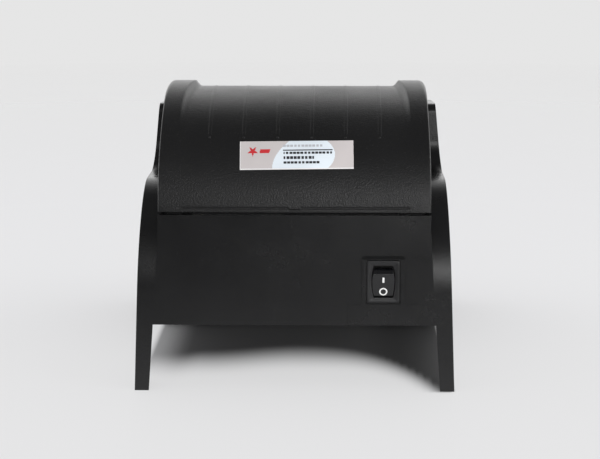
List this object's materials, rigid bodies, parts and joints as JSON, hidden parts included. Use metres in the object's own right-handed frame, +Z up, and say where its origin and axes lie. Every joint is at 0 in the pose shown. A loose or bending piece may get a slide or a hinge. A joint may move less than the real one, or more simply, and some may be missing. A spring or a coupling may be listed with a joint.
{
  "type": "receipt printer",
  "caption": "Desktop thermal receipt printer for 58 mm paper with a domed, hinged paper cover, side wings that end in legs and a rocker switch in the rear panel.",
  "frame": {"origin": "on the floor under the middle of the printer's bounding box", "axes": "+X to the right seen from the front, +Y towards the rear, +Z up"},
  "size_m": [0.108, 0.15, 0.101],
  "materials": {
    "shell": "fine sand-textured black moulding",
    "inner": "plain black moulding",
    "switch": "semi-gloss black",
    "rubber": "matt rubber",
    "steel": "bright steel",
    "aluminium": "satin aluminium",
    "gear": "natural acetal",
    "board": "green solder mask",
    "ceramic": "glazed ceramic",
    "label": "satin printed label",
    "lens": "clear green lens",
    "amber_lens": "clear amber lens",
    "screw": "black oxide"
  },
  "bodies": {
    "housing": {"main_housing": "shell", "bottom_cover": "shell", "front_cover": "shell", "paper_bay": "inner", "paper_sensor": "inner", "switch_housing": "switch", "idler_post": "steel", "stepper_motor": "steel", "mech_chassis": "steel", "thermal_head": "ceramic", "head_heatsink": "aluminium", "head_spring_left": "steel", "head_spring_right": "steel", "cover_spring": "steel", "hinge_pin_left": "steel", "hinge_pin_right": "steel", "latch_pin": "steel", "tear_bar": "steel", "power_lamp": "lens", "paper_lamp": "amber_lens", "panel_board": "board", "main_board": "board", "feed_tact_switch": "inner", "power_socket": "inner", "usb_socket": "steel", "drawer_socket": "inner", "capacitor": "inner", "driver_chip": "inner", "head_cable": "gear", "switch_terminal_1": "steel", "switch_terminal_2": "steel", "bottom_screw_left_1": "screw", "bottom_screw_left_2": "screw", "bottom_screw_left_3": "screw", "rubber_foot_rear_left": "rubber", "rubber_foot_front_left": "rubber", "bottom_screw_right_1": "screw", "bottom_screw_right_2": "screw", "bottom_screw_right_3": "screw", "rubber_foot_rear_right": "rubber", "rubber_foot_front_right": "rubber"},
    "cover": {"paper_cover": "shell", "cover_liner": "inner", "cover_label": "label", "platen_bushing_left": "inner", "platen_bushing_right": "inner"},
    "platen": {"platen_roller": "rubber", "platen_shaft": "steel", "platen_gear": "gear"},
    "idler": {"idler_gear": "gear"},
    "motor_rotor": {"motor_shaft": "steel", "motor_pinion": "gear"},
    "feed_button": {"feed_button": "shell"},
    "latch": {"latch_lever": "shell"},
    "rocker": {"switch_rocker": "switch"}
  },
  "joints": [
    {"name": "cover_hinge", "type": "hinge", "parent": "housing", "child": "cover", "pos_m": [0, 0.0674, 0.0625], "axis": [-1, 0, 0], "range_deg": [0, 74]},
    {"name": "platen_spin", "type": "hinge", "parent": "cover", "child": "platen", "pos_m": [0, -0.004, 0.0755], "axis": [1, 0, 0], "continuous": true},
    {"name": "idler_spin", "type": "hinge", "parent": "housing", "child": "idler", "pos_m": [0, -0.00684, 0.05991], "axis": [1, 0, 0], "continuous": true},
    {"name": "motor_spin", "type": "hinge", "parent": "housing", "child": "motor_rotor", "pos_m": [0, -0.01977, 0.0557], "axis": [1, 0, 0], "continuous": true},
    {"name": "feed_press", "type": "slide", "parent": "housing", "child": "feed_button", "axis": [0, 0.5736, -0.8192], "range_m": [0, 0.0008], "stiffness_N_per_m": 300},
    {"name": "latch_pull", "type": "hinge", "parent": "housing", "child": "latch", "pos_m": [0.0434, -0.0235, 0.066], "axis": [1, 0, 0], "range_deg": [0, 8], "stiffness_Nm_per_rad": 0.05},
    {"name": "rocker_tilt", "type": "hinge", "parent": "housing", "child": "rocker", "pos_m": [-0.0298, 0.0694, 0.0379], "axis": [1, 0, 0], "range_deg": [0, 16]}
  ],
  "couplings": [
    {"joint": "idler_spin", "follows": "platen_spin", "ratio": -0.75},
    {"joint": "motor_spin", "follows": "platen_spin", "ratio": 1.5}
  ]
}
